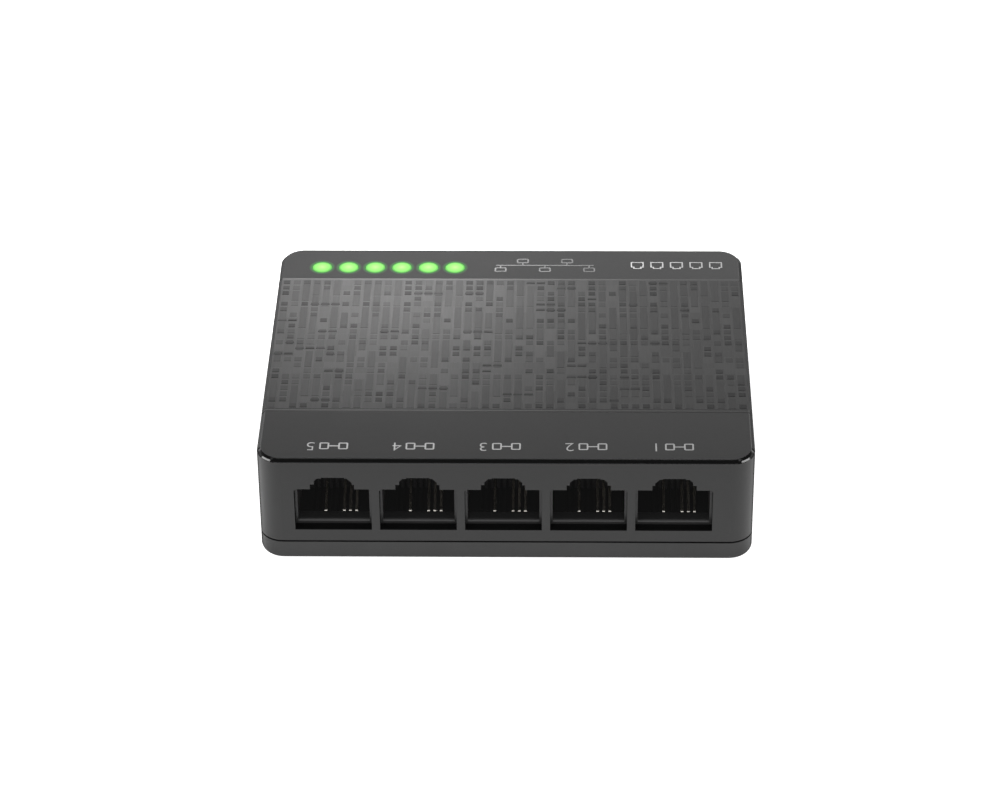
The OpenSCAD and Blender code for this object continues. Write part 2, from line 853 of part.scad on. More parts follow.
module capacitor_cans() {
  color("#2b3550") for (c = can_at)
    post(c[0], c[1], c[2], board_z1 + can_seal_h, board_z1 + can_h);
}

module capacitor_seals() {
  color("#18181a") for (c = can_at) {
    post(c[0], c[1], c[2] - can_seal_in, board_z1, board_z1 + can_seal_h);
    for (s = [-1, 1]) post(c[0] + s * can_lead_x, c[1], can_lead_r, tail_end_z, board_z1 + bury);
  }
}

module power_inductor() {
  color("#3a3a3c") difference() {
    part_block(inductor_at, [inductor_w, inductor_w, inductor_h], board_z1);
    post(inductor_at[0], inductor_at[1], inductor_well_r,
      board_z1 + inductor_floor, board_z1 + inductor_h + over);
  }
}

module inductor_core() {
  top = board_z1 + inductor_h - clear;
  color("#5a5a5c") {
    post(inductor_at[0], inductor_at[1], inductor_core_r, board_z1 + inductor_floor, top);
    post(inductor_at[0], inductor_at[1], inductor_flange[0], top - inductor_flange[1], top);
  }
}

module regulator() {
  color("#232325") part_block(regulator_at, regulator_size, board_z1 + stand_off);
}

module regulator_leads() {
  color("silver") for (a = [0, 180])
    translate([regulator_at[0], regulator_at[1], board_z1]) rotate([0, 0, a])
      translate([0, regulator_size[1] / 2, 0])
        gull_row(3, regulator_lead_pitch, regulator_lead);
}

module diode() {
  color("#232325") part_block(diode_at, diode_size, board_z1);
}

module indicator_leds() {
  color("#eef5e6") for (i = [0:lens_count - 1])
    part_block([lens_x(i), lens_y], led_size, board_z1);
}

module chip_resistors() {
  color("#1f1f21") {
    for (i = [1:jack_count], k = [0:resistor_count - 1])
      translate([jack_x(i) + (k - (resistor_count - 1) / 2) * resistor_pitch, resistor_y, board_z1])
        rotate([0, 0, 90]) part_block([0, 0], resistor_size, 0);
    for (i = [0:lens_count - 1])
      part_block([lens_x(i), led_resistor_y], resistor_size, board_z1);
  }
}

module chip_capacitors() {
  color("#b59468") {
    for (x = [-1, 1], y = [-3:2:3])
      part_block([chip_at[0] + x * chip_capacitor_x, chip_at[1] + y], chip_capacitor_size, board_z1);
    for (at = bulk_capacitor_at)
      part_block(at, bulk_capacitor_size, board_z1);
  }
}

// ---- Assembly ----

top_cover();
bottom_cover();
rubber_feet();
case_screws();
rating_plate();
light_guide();
circuit_board();
board_screws();
jack_housing();
contact_carrier(1);  // contact_carrier_1
contact_carrier(2);  // contact_carrier_2
contact_carrier(3);  // contact_carrier_3
contact_carrier(4);  // contact_carrier_4
contact_carrier(5);  // contact_carrier_5
contact_springs(1);  // contact_springs_1
contact_springs(2);  // contact_springs_2
contact_springs(3);  // contact_springs_3
contact_springs(4);  // contact_springs_4
contact_springs(5);  // contact_springs_5
contact_tails();
power_jack_body();
power_jack_pin();
power_jack_spring();
power_jack_terminals();
switch_chip();
switch_chip_leads();
transformers();
transformer_leads();
crystal();
crystal_base();
capacitor_cans();
capacitor_seals();
power_inductor();
inductor_core();
regulator();
regulator_leads();
diode();
indicator_leds();
chip_resistors();
chip_capacitors();
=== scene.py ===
"""Looks for the desktop network switch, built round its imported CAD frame. Metres, in the CAD's own frame."""

import math
import random

import bmesh
import bpy
from mathutils import Matrix, Quaternion, Vector


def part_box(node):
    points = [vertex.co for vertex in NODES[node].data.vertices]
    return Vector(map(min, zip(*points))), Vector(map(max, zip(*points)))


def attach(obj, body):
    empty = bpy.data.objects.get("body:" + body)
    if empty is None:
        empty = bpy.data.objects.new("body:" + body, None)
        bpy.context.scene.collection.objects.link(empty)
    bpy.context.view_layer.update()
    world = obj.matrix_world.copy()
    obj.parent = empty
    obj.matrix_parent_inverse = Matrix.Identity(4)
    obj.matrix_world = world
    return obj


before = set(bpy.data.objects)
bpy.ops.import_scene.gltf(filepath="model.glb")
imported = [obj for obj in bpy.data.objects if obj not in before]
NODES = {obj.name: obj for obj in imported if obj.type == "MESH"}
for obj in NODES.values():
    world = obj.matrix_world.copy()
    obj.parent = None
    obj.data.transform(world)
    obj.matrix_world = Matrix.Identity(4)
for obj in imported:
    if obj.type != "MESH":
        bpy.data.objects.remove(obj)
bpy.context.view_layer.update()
MM = 0.001
ROOT = "switch"
JACKS = 5


def middle(node):
    """The middle of a CAD node's box."""
    lo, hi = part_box(node)
    return (lo + hi) / 2


# ---- Places, from the CAD's parts and from given sizes ----

COVER_LO, COVER_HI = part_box("top_cover")
GUIDE_LO, GUIDE_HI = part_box("light_guide")
LED_LO, LED_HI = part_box("indicator_leds")
DECK_Z = GUIDE_HI.z                    # the lenses are level with the smooth strips
BAND_Z = COVER_HI.z                    # the mosaic band stands a little higher
BEVEL = 0.65 * MM
CORNER_R = 4 * MM
SIDE_X = COVER_HI.x
LENS_STRIP = 10.2 * MM                 # the smooth strips on either side of the band
LABEL_STRIP = 14.2 * MM
BAND_FAR = COVER_HI.y - LENS_STRIP
BAND_NEAR = COVER_LO.y + LABEL_STRIP
LENS_COUNT = 6
LENS_R = 1.7 * MM
LENS_X0 = (LED_LO.x + LED_HI.x) / 2 - (GUIDE_HI.x - GUIDE_LO.x - 2 * LENS_R) / 2
LENS_PITCH = (GUIDE_HI.x - GUIDE_LO.x - 2 * LENS_R) / (LENS_COUNT - 1)
LENS_Y = (LED_LO.y + LED_HI.y) / 2
LABEL_Y = COVER_LO.y + 4.1 * MM
LABEL_PITCH = 14.11 * MM
LABEL_MIDDLE = middle("contact_carrier_3").x - 0.53 * MM
PRINT_T = 0.24 * MM                    # width of the pictograms' strokes


# ---- Node trees in few words ----


class Nodes:
    """Builds one material's node tree. Inputs given as sockets are linked, and the rest are set."""

    def __init__(self, tree):
        self.tree = tree
        tree.nodes.clear()

    def add(self, kind, inputs=None, **settings):
        n = self.tree.nodes.new("ShaderNode" + kind)
        for key, value in settings.items():
            setattr(n, key, value)
        for key, value in (inputs or {}).items():
            if isinstance(value, bpy.types.NodeSocket):
                self.tree.links.new(value, n.inputs[key])
            else:
                n.inputs[key].default_value = value
        return n

    def math(self, op, a, b=0.0, c=0.0, clamp=False):
        return self.add("Math", {0: a, 1: b, 2: c}, operation=op, use_clamp=clamp).outputs[0]

    def ramp(self, value, from_lo, from_hi, to_lo=0.0, to_hi=1.0, smooth=True):
        """value from one range to another, held at both ends."""
        return self.add(
            "MapRange",
            {"Value": value, "From Min": from_lo, "From Max": from_hi, "To Min": to_lo, "To Max": to_hi},
            interpolation_type="SMOOTHSTEP" if smooth else "LINEAR",
        ).outputs[0]

    def mix(self, factor, a, b):
        return self.add("Mix", {"Factor": factor, 6: a, 7: b}, data_type="RGBA").outputs[2]

    def mix_value(self, factor, a, b):
        return self.add("Mix", {"Factor": factor, 2: a, 3: b}, data_type="FLOAT").outputs[0]

    def noise(self, vector, scale, detail=2.0, rough=0.5):
        return self.add(
            "TexNoise", {"Vector": vector, "Scale": scale, "Detail": detail, "Roughness": rough}
        ).outputs["Fac"]

    def place(self):
        return self.add("TexCoord").outputs["Object"]

    def xyz(self, vector):
        return self.add("SeparateXYZ", {0: vector}).outputs


def rgb(r, g=None, b=None):
    return (r, r if g is None else g, r if b is None else b, 1.0)


def new_material(name):
    m = bpy.data.materials.new(name)
    m.use_nodes = True
    return m, Nodes(m.node_tree)


def finish_surface(n, shader):
    n.add("OutputMaterial", {"Surface": shader})


def painted_dark_rim(n, shader, normal):
    """Painted shade: a dark outline painted on the moulding where it turns out of sight."""
    facing = n.add("LayerWeight", {"Blend": 0.5, "Normal": normal}).outputs["Facing"]
    dull = n.add("BsdfDiffuse", {"Color": rgb(0.012)})
    return n.add("MixShader", {0: n.ramp(facing, 0.62, 0.92), 1: shader, 2: dull.outputs[0]}).outputs[0]


def moulded(name, colour, rough, grain=0.03, grain_scale=7000, mottle=0.12, edge=0.12, spec=0.5,
            rim=False, painted_glow=0.0, extra=None):
    """Moulded plastic or rubber: faint mottling, a fine grain, and softened edges.

    edge is the radius of the softened edges in mm. rim paints a dark outline where the surface turns out of
    sight, painted shade. The glow setting paints a faint glow on the plastic, painted light that keeps the
    inside of a deep opening off pure black. extra(n, place, parts) may change the shader's inputs.
    """
    m, n = new_material(name)
    p = n.place()
    cloud = n.noise(p, 160, 3)
    speck = n.noise(p, grain_scale * 0.5, 2)
    dark = tuple(c * (1 - mottle) for c in colour[:3]) + (1,)
    light = tuple(c * (1 + mottle) for c in colour[:3]) + (1,)
    parts = {
        "Base Color": n.mix(n.ramp(cloud, 0.3, 0.7), dark, light),
        "Roughness": n.math("MULTIPLY_ADD", speck, 0.08, rough - 0.04),
        "Specular IOR Level": spec,
        # a faint glow painted on the plastic, painted light for the insides of deep openings
        "Emission Color": rgb(1.0),
        "Emission Strength": painted_glow,
    }
    edges = n.add("Bevel", {"Radius": edge * MM}, samples=4)
    bump = n.add("Bump", {"Strength": grain, "Distance": 0.05 * MM, "Height": n.noise(p, grain_scale, 2),
                          "Normal": edges.outputs[0]})
    parts["Normal"] = bump.outputs[0]
    if extra:
        extra(n, p, parts)
    shader = n.add("BsdfPrincipled", parts).outputs[0]
    finish_surface(n, painted_dark_rim(n, shader, parts["Normal"]) if rim else shader)
    return m


def metal(name, colour, rough, brush=None, edge=0.04, stain=0.1, dull_below=None, dull_rough=0.34):
    """Plated or drawn metal with faint staining. brush stretches the roughness marks along one axis.

    Below the height dull_below the surface is worn dull, as at the bends of the contacts.
    """
    m, n = new_material(name)
    p = n.place()
    marks = n.add("Mapping", {"Vector": p, "Scale": brush or (1, 1, 1)}).outputs[0]
    wear = n.noise(marks, 2600, 4, 0.6)
    cloud = n.noise(p, 700, 3)
    dark = tuple(c * (1 - stain) for c in colour[:3]) + (1,)
    edges = n.add("Bevel", {"Radius": edge * MM}, samples=4)
    bump = n.add("Bump", {"Strength": 0.05, "Distance": 0.02 * MM, "Height": wear,
                          "Normal": edges.outputs[0]})
    roughness = n.math("MULTIPLY_ADD", wear, 0.16, rough - 0.08)
    if dull_below:
        worn = n.ramp(n.xyz(p)[2], dull_below, dull_below - 0.3 * MM)
        roughness = n.mix_value(worn, roughness, dull_rough)
    shader = n.add("BsdfPrincipled", {
        "Base Color": n.mix(n.ramp(cloud, 0.35, 0.65), dark, colour),
        "Metallic": 1.0,
        "Roughness": roughness,
        "Normal": bump.outputs[0],
    })
    finish_surface(n, shader.outputs[0])
    return m


# ---- Materials ----

PLASTIC = rgb(0.0036, 0.0035, 0.0035)


def lens_distance(n, x, y):
    """The distance to the middle of the nearest lens, and which lens pitch x falls in, counted from 0."""
    step = n.math("DIVIDE", n.math("SUBTRACT", x, LENS_X0 - LENS_PITCH / 2), LENS_PITCH)
    dx = n.math("MULTIPLY", n.math("SUBTRACT", n.math("FRACT", step), 0.5), LENS_PITCH)
    dy = n.math("SUBTRACT", y, LENS_Y)
    r = n.math("SQRT", n.math("ADD", n.math("MULTIPLY", dx, dx), n.math("MULTIPLY", dy, dy)))
    return r, step


def deck_details(n, place, parts):
    """The polished bevel round the deck, painted shade on the jack reveals, and the green glow round each lens.
    """
    x, y, z = n.xyz(place)[0:3]
    normal = n.xyz(n.add("NewGeometry").outputs["True Normal"])
    out = n.math("ABSOLUTE", x)
    up = normal[2]
    sloping = n.math("MULTIPLY", n.ramp(up, 0.3, 0.5, smooth=False), n.ramp(up, 0.97, 0.9, smooth=False))
    high = n.ramp(z, DECK_Z - BEVEL - 0.05 * MM, DECK_Z - BEVEL, smooth=False)
    polished = n.math("MULTIPLY", sloping, high)
    parts["Roughness"] = n.mix_value(polished, parts["Roughness"], 0.1)
    rounded = n.add("Bevel", {"Radius": 0.3 * MM}, samples=8).outputs[0]
    # round the front corners the upper half of the bevel leans further back
    lean = n.math("MULTIPLY", n.ramp(out, SIDE_X - 0.8 * CORNER_R, SIDE_X - 0.65 * CORNER_R),
                  n.ramp(z, DECK_Z - 0.6 * BEVEL, DECK_Z - 0.4 * BEVEL, 0.0, 0.4))
    lean = n.math("MULTIPLY", lean, n.ramp(y, COVER_LO.y + 0.9 * CORNER_R, COVER_LO.y + 0.7 * CORNER_R))
    rounded = n.add("Mix", {"Factor": lean, 4: rounded, 5: (0.0, 0.0, 1.0)}, data_type="VECTOR").outputs[1]
    rounded = n.add("VectorMath", {0: rounded}, operation="NORMALIZE").outputs[0]
    parts["Normal"] = n.add("Mix", {"Factor": polished, 4: parts["Normal"], 5: rounded},
                            data_type="VECTOR").outputs[1]
    parts["Base Color"] = n.mix(polished, parts["Base Color"], rgb(0.002))
    # painted shade on the inner faces of the jack openings near the front: a darker colour and less shine
    reveal_shade = n.math("MULTIPLY", n.math("LESS_THAN", out, SIDE_X - CORNER_R),
                 n.math("LESS_THAN", y, COVER_LO.y + 2 * MM))
    reveal_shade = n.math("MULTIPLY", reveal_shade, n.math("LESS_THAN", z, DECK_Z - 2 * MM))
    reveal_shade = n.math("MULTIPLY", reveal_shade, n.math("LESS_THAN", n.math("ABSOLUTE", normal[1]), 0.5))
    parts["Base Color"] = n.mix(reveal_shade, parts["Base Color"], rgb(0.006))
    parts["Specular IOR Level"] = n.mix_value(reveal_shade, parts["Specular IOR Level"], 0.12)
    # the light that leaks into the plastic round each lens
    r, step = lens_distance(n, x, y)
    inside = n.math("MULTIPLY", n.math("GREATER_THAN", step, 0.0), n.math("LESS_THAN", step, float(LENS_COUNT)))
    glow = n.math("MULTIPLY", n.ramp(r, LENS_R * 1.42, LENS_R * 0.98), inside)
    glow = n.math("MULTIPLY", glow, n.math("GREATER_THAN", z, DECK_Z - 2 * MM))
    parts["Emission Color"] = rgb(0.05, 0.42, 0.05)
    parts["Emission Strength"] = n.math("MULTIPLY", glow, 0.42)


def lens_light(name):
    """A lit lens: pale in the middle, greener towards its edge, and dark green down its side."""
    m, n = new_material(name)
    p = n.place()
    x, y, z = n.xyz(p)[0:3]
    r = n.math("DIVIDE", lens_distance(n, x, y)[0], LENS_R)
    r = n.math("ADD", r, n.math("MULTIPLY", n.math("SUBTRACT", n.noise(p, 900, 2), 0.5), 0.12))
    colour = n.add("ValToRGB", {"Fac": r})
    stops = colour.color_ramp
    stops.elements[0].position, stops.elements[0].color = 0.0, rgb(0.62, 1.0, 0.34)
    stops.elements[1].position, stops.elements[1].color = 1.0, rgb(0.12, 0.52, 0.08)
    for at, c in ((0.45, rgb(0.44, 1.0, 0.24)), (0.78, rgb(0.30, 0.86, 0.18))):
        stops.elements.new(at).color = c
    bump = n.add("Bump", {"Strength": 0.08, "Distance": 0.05 * MM, "Height": n.noise(p, 1400, 2)})
    strength = n.ramp(z, DECK_Z - 1.5 * MM, DECK_Z - 0.1 * MM, 0.12, 1.0)
    shader = n.add("BsdfPrincipled", {
        "Base Color": rgb(0.004, 0.02, 0.004), "Roughness": 0.5, "Specular IOR Level": 0.12,
        "Emission Color": colour.outputs[0], "Emission Strength": strength,
        "Normal": bump.outputs[0],
    })
    finish_surface(n, shader.outputs[0])
    return m


def board_mask(name):
    """Green solder mask over etched traces: a brick pattern, broken up by noise."""
    m, n = new_material(name)
    p = n.place()
    lines = n.add("TexBrick", {"Vector": p, "Color1": rgb(1), "Color2": rgb(0.8), "Mortar": rgb(0.0),
                               "Scale": 260.0, "Mortar Size": 0.06, "Brick Width": 1.1, "Row Height": 0.32},
                  offset=0.37)
    traces = n.mix(n.ramp(n.noise(p, 120, 2), 0.45, 0.55), lines.outputs["Color"], rgb(0.9))
    shade = n.mix(traces, rgb(0.006, 0.06, 0.018), rgb(0.012, 0.11, 0.035))
    bump = n.add("Bump", {"Strength": 0.25, "Distance": 0.03 * MM, "Height": traces})
    shader = n.add("BsdfPrincipled", {"Base Color": shade, "Roughness": 0.28, "Coat Weight": 0.4,
                                      "Coat Roughness": 0.15, "Normal": bump.outputs[0]})
    finish_surface(n, shader.outputs[0])
    return m


def mosaic_material(name):
    """The relief's own finish: each tile carries a shade that sets how pale it is and how much it shines."""
    m, n = new_material(name)
    p = n.place()
    shade = n.add("Attribute", attribute_name="shade").outputs["Fac"]
    stretched = n.add("Mapping", {"Vector": p, "Scale": (1.0, 0.12, 1.0)}).outputs[0]
    hair = n.noise(stretched, 2600, 3, 0.6)
    tone = n.math("ADD", shade, n.math("MULTIPLY", n.math("SUBTRACT", hair, 0.5), 0.22), clamp=True)
    edges = n.add("Bevel", {"Radius": 0.03 * MM}, samples=4)
    bump = n.add("Bump", {"Strength": 0.05, "Distance": 0.04 * MM, "Height": hair,
                          "Normal": edges.outputs[0]})
    shader = n.add("BsdfPrincipled", {
        "Base Color": n.mix(tone, rgb(0.005), rgb(0.038, 0.0376, 0.0374)),
        "Roughness": n.math("MULTIPLY_ADD", tone, -0.06, 0.50),
        "Specular IOR Level": n.math("MULTIPLY_ADD", tone, 0.16, 0.20),
        "Normal": bump.outputs[0],
    })
    finish_surface(n, shader.outputs[0])
    return m


def ink(name, pale):
    """Print with slightly uneven cover."""
    m, n = new_material(name)
    p = n.place()
    worn = n.ramp(n.noise(p, 4200, 3), 0.3, 0.6, 0.75, 1.0)
    cover = n.mix(worn, rgb(0.4 * pale), rgb(pale))
    shader = n.add("BsdfPrincipled", {"Base Color": cover, "Roughness": 0.55})
    finish_surface(n, shader.outputs[0])
    return m


def label_film(name):
    """A blank rating plate: pale satin film, very slightly dimpled."""
    m, n = new_material(name)
    p = n.place()
    dimple = n.noise(p, 300, 2)
    bump = n.add("Bump", {"Strength": 0.1, "Distance": 0.05 * MM, "Height": dimple})
    shader = n.add("BsdfPrincipled", {"Base Color": n.mix(dimple, rgb(0.50), rgb(0.58)), "Roughness": 0.38,
                                      "Normal": bump.outputs[0]})
    finish_surface(n, shader.outputs[0])
    return m


MATERIALS = {
    "case": moulded("case_plastic", PLASTIC, 0.45, edge=0.07, extra=deck_details, rim=True),
    "base": moulded("base_plastic", rgb(0.0115), 0.47, rim=True),
    "rubber": moulded("foot_rubber", rgb(0.012), 0.7, grain=0.25, grain_scale=3500, edge=0.2),
    # the jack plastics carry a faint painted glow, painted light inside the openings
    "shell": moulded("jack_plastic", rgb(0.022), 0.33, grain=0.02, edge=0.09, spec=0.4, painted_glow=0.0035),
    "carrier": moulded("carrier_plastic", rgb(0.006), 0.6, grain=0.02, edge=0.05, spec=0.15, painted_glow=0.004),
    "epoxy": moulded("chip_epoxy", rgb(0.016), 0.55, grain=0.2, grain_scale=5000, edge=0.08),
    "ferrite": moulded("ferrite", rgb(0.045), 0.62, grain=0.3, grain_scale=4200, mottle=0.3),
    "ceramic": moulded("capacitor_ceramic", rgb(0.30, 0.19, 0.10), 0.4, grain=0.08, mottle=0.2, edge=0.05),
    "resistor": moulded("resistor_glaze", rgb(0.012), 0.25, grain=0.05, edge=0.05),
    "sleeve": moulded("capacitor_sleeve", rgb(0.012, 0.020, 0.065), 0.22, grain=0.03, edge=0.15),
    "dark_base": moulded("moulded_base", rgb(0.014), 0.5, edge=0.08),
    "led_body": moulded("led_body", rgb(0.75, 0.80, 0.68), 0.3, grain=0.02, edge=0.06),
    "contact": metal("contact_gold", rgb(0.93, 0.89, 0.82), 0.12, edge=0.06, dull_below=7.9 * MM),
    "pin": metal("nickel_pin", rgb(0.62, 0.61, 0.58), 0.2, brush=(0.15, 1, 1)),
    "leaf": metal("leaf_bronze", rgb(0.70, 0.58, 0.38), 0.26, brush=(0.15, 1, 1)),
    "tin": metal("tinned_lead", rgb(0.62, 0.62, 0.63), 0.32),
    "screw": metal("screw_zinc", rgb(0.55, 0.56, 0.58), 0.3, edge=0.1, stain=0.25),
    "can": metal("crystal_can", rgb(0.66, 0.66, 0.66), 0.28, edge=0.25),
    "board": board_mask("solder_mask"),
    "lens": lens_light("lens_green"),
    "mosaic": mosaic_material("mosaic_relief"),
    "ink": ink("print_ink", 0.34),
    # the same print painted darker, painted shade where the deck_glow lamp shines on the bus pictogram
    "ink_painted_darker": ink("print_ink_painted_darker", 0.09),
    "plate": label_film("plate_film"),
}

NODE_LOOK = {
    "top_cover": "case", "bottom_cover": "base", "rubber_feet": "rubber", "case_screws": "screw",
    "board_screws": "screw", "rating_plate": "plate", "light_guide": "lens", "circuit_board": "board",
    "jack_housing": "shell", "contact_tails": "contact", "power_jack_body": "shell", "power_jack_pin": "pin",
    "power_jack_spring": "leaf", "power_jack_terminals": "tin", "switch_chip": "epoxy",
    "switch_chip_leads": "tin", "transformers": "epoxy", "transformer_leads": "tin", "crystal": "can",
    "crystal_base": "dark_base", "capacitor_cans": "sleeve", "capacitor_seals": "rubber",
    "power_inductor": "ferrite", "inductor_core": "ferrite", "regulator": "epoxy", "regulator_leads": "tin",
    "diode": "epoxy", "indicator_leds": "led_body", "chip_resistors": "resistor",
    "chip_capacitors": "ceramic",
}
for i in range(1, JACKS + 1):
    NODE_LOOK[f"contact_carrier_{i}"] = "carrier"
    NODE_LOOK[f"contact_springs_{i}"] = "contact"

for name, look in NODE_LOOK.items():
    NODES[name].data.materials.clear()
    NODES[name].data.materials.append(MATERIALS[look])


# ---- Pieces ----


def linked(name, data):
    """A new object in the scene."""
    o = bpy.data.objects.new(name, data)
    bpy.context.scene.collection.objects.link(o)
    return o


def finished_mesh(name, bm):
    mesh = bpy.data.meshes.new(name)
    bm.to_mesh(mesh)
    bm.free()
    return mesh


def piece(name, mesh, look):
    """A visible piece that rides on the case, in the material slot of one of the CAD's nodes."""
    o = linked(name, mesh)
    mesh.materials.append(MATERIALS[look])
    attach(o, ROOT)


# Rise in mm, and the gaps beside and past a tile as shares of a cell.
TILE_KINDS = {
    "square": (0.075, 0.15, 0.17),
    "cell": (0.05, 0.13, 0.12),
    "bar": (0.055, 0.13, 0.08),
    "cap": (0.085, 0.16, 0.18),
}
COLUMNS, ROWS = 45, 23
GROUND_BARS_TRIED = 260
DASHES_TRIED = 34
BLOCK_ROWS = 6
MOTIF_COLUMNS = 6
MOTIF_SHARE = 0.6
SEED = 11


def mosaic_ground(rng):
    """The ground's cells, some joined into upright bars, as (column, first row, end row, shade)."""
    taken = [[False] * ROWS for _ in range(COLUMNS)]
    runs = []
    for _ in range(GROUND_BARS_TRIED):
        c, r0 = rng.randrange(COLUMNS), rng.randrange(ROWS)
        r1 = r0 + rng.choice((2, 3, 3, 4, 5))
        if r1 <= ROWS and not any(taken[c][r0:r1]):
            taken[c][r0:r1] = [True] * (r1 - r0)
            runs.append((c, r0, r1, rng.uniform(0.58, 0.78)))
    for c in range(COLUMNS):
        runs += [(c, r, r + 1, rng.uniform(0.60, 0.74)) for r in range(ROWS) if not taken[c][r]]
    return runs


def mosaic_tiles(rng, r0, r1):
    """The darker tiles that stand in one column between two rows, as (kind, first row, end row, shade)."""
    out = []
    r = r0
    while r < r1:
        pick = rng.random()
        if pick < 0.30:
            r += 1
        elif pick < 0.52:
            out.append(("square", r, r + 1, rng.uniform(0.20, 0.36)))
            r += 1
        elif pick < 0.72:
            out.append(("cell", r, r + 1, rng.uniform(0.42, 0.56)))
            r += 1
        else:
            end = min(r1, r + rng.choice((2, 3, 4, 5)))
            out.append(("bar", r, end, rng.uniform(0.44, 0.58)))
            if rng.random() < 0.45:
                at = rng.choice((r, end - 1))
                out.append(("cap", at, at + 1, rng.uniform(0.28, 0.40)))
            r = end
    return out


def build_mosaic():
    """Raised tiles on the deck's band: a pale ground that varies cell by cell, and darker tiles on it.

    The ground follows the bevel down to the case's sides.
    """
    rng = random.Random(SEED)
    flat = SIDE_X - BEVEL
    near, far = BAND_NEAR + 0.8 * MM, BAND_FAR - 0.45 * MM
    dark_edge = near - 0.35 * MM
    sunk = 0.02 * MM
    w, d = 2 * flat / COLUMNS, (far - near) / ROWS
    bm = bmesh.new()
    shade_layer = bm.faces.layers.float.new("shade")

    def tile(xa, xb, ya, yb, shade, rise, lean=0.0):
        """A low frustum, its foot sunk in the band. Past the flat of the deck it tips down with the bevel."""
        foot, top = [], []
        for x, y in ((xa, ya), (xb, ya), (xb, yb), (xa, yb)):
            drop = max(0.0, abs(x) - flat)
            foot.append(bm.verts.new((x, y, BAND_Z - drop - sunk)))
            top.append(bm.verts.new((x + (lean if x == xa else -lean), y + (lean if y == ya else -lean),
                                     BAND_Z - drop + rise)))
        faces = [bm.faces.new(top), bm.faces.new(foot[::-1])]
        faces += [bm.faces.new((foot[k], foot[(k + 1) % 4], top[(k + 1) % 4], top[k])) for k in range(4)]
        for f in faces:
            f[shade_layer] = shade

    def cell_tile(c, r0, r1, shade, rise, inset, y_inset=0.0):
        tile(-flat + (c + inset) * w, -flat + (c + 1 - inset) * w,
             near + (r0 + y_inset) * d, near + (r1 - y_inset) * d, shade, rise, 0.05 * MM if inset else 0.0)

    for c, r0, r1, shade in mosaic_ground(rng):
        cell_tile(c, r0, r1, shade, (0.01 + 0.02 * shade) * MM, 0.0)
        y0, y1 = near + r0 * d, near + r1 * d
        if c == 0:
            tile(-SIDE_X + 0.02 * MM, -flat, y0, y1, shade * 0.7, 0.02 * MM)
        if c == COLUMNS - 1:
            tile(flat, SIDE_X - 0.02 * MM, y0, y1, shade * 0.7, 0.02 * MM)
    # The tiles follow a motif that comes round every few columns, with stretches that break from it.
    motif = {}
    for c in range(COLUMNS):
        for r0 in range(0, ROWS, BLOCK_ROWS):
            own = mosaic_tiles(rng, r0, min(ROWS, r0 + BLOCK_ROWS))
            shared = motif.setdefault((c % MOTIF_COLUMNS, r0), own)
            for kind, ra, rb, shade in shared if rng.random() < MOTIF_SHARE else own:
                rise, inset, y_inset = TILE_KINDS[kind]
                cell_tile(c, ra, rb, shade, rise * MM, inset, y_inset)
    dashed = set()
    for _ in range(DASHES_TRIED):
        c, r, run = rng.randrange(COLUMNS - 3), rng.randrange(ROWS), rng.choice((1, 2, 2, 3))
        places = [(c + k, r) for k in range(run)]
        if not dashed.intersection(places):
            dashed.update(places)
            for col, row in places:
                cell_tile(col, row, row + 1, rng.uniform(0.26, 0.38), 0.09 * MM, 0.06, 0.32)
    tile(-flat, flat, dark_edge, near, 0.30, 0.02 * MM)
    # a pale strip along the band's far edge, a painted highlight
    tile(-flat, flat, far, BAND_FAR, 1.0, 0.03 * MM)
    # a pale ramp from the near strip up to the band, a painted highlight along the band's near edge
    foot, top = DECK_Z - 0.01 * MM, BAND_Z + 0.03 * MM
    y0, y1 = BAND_NEAR - 0.2 * MM, BAND_NEAR + 0.2 * MM
    side = [(y0, foot), (dark_edge, foot), (dark_edge, top), (y1, top)]
    ends = [[bm.verts.new((x, y, z)) for y, z in side] for x in (flat, -flat)]
    faces = [bm.faces.new(ends[0]), bm.faces.new(ends[1][::-1])]
    for k in range(4):
        q = (k + 1) % 4
        faces.append(bm.faces.new((ends[0][q], ends[0][k], ends[1][k], ends[1][q])))
    for f in faces:
        f[shade_layer] = 1.0
    piece("deck_mosaic", finished_mesh("deck_mosaic", bm), "mosaic")


def flat_mesh(name, outlines, z0, z1):
    """Thin solids with the given outlines, each a list of (x, y) anticlockwise."""
    bm = bmesh.new()
    for points in outlines:
        low = [bm.verts.new((x, y, z0)) for x, y in points]
        high = [bm.verts.new((x, y, z1)) for x, y in points]
        k = len(points)
        bm.faces.new(high)
        bm.faces.new(low[::-1])
        for i in range(k):
            bm.faces.new((low[i], low[(i + 1) % k], high[(i + 1) % k], high[i]))
    return finished_mesh(name, bm)


def ring(cx, cy, w, h, r, t):
    """The outline of a rounded box, as four straight strips and four corner arcs of thickness t."""
    xa, xb, ya, yb = cx - w / 2, cx + w / 2, cy - h / 2, cy + h / 2
    x0, x1, y0, y1 = xa + r, xb - r, ya + r, yb - r
    out = [bar(x0, ya, x1, ya + t), bar(x0, yb - t, x1, yb), bar(xa, y0, xa + t, y1), bar(xb - t, y0, xb, y1)]
    for px, py, start in ((x1, y1, 0), (x0, y1, 90), (x0, y0, 180), (x1, y0, 270)):
        arc = [math.radians(start + a) for a in range(0, 91, 15)]
        outer = [(px + r * math.cos(a), py + r * math.sin(a)) for a in arc]
        inner = [(px + (r - t) * math.cos(a), py + (r - t) * math.sin(a)) for a in reversed(arc)]
        out.append(outer + inner)
    return out


def bar(xa, ya, xb, yb):
    return [(xa, ya), (xb, ya), (xb, yb), (xa, yb)]


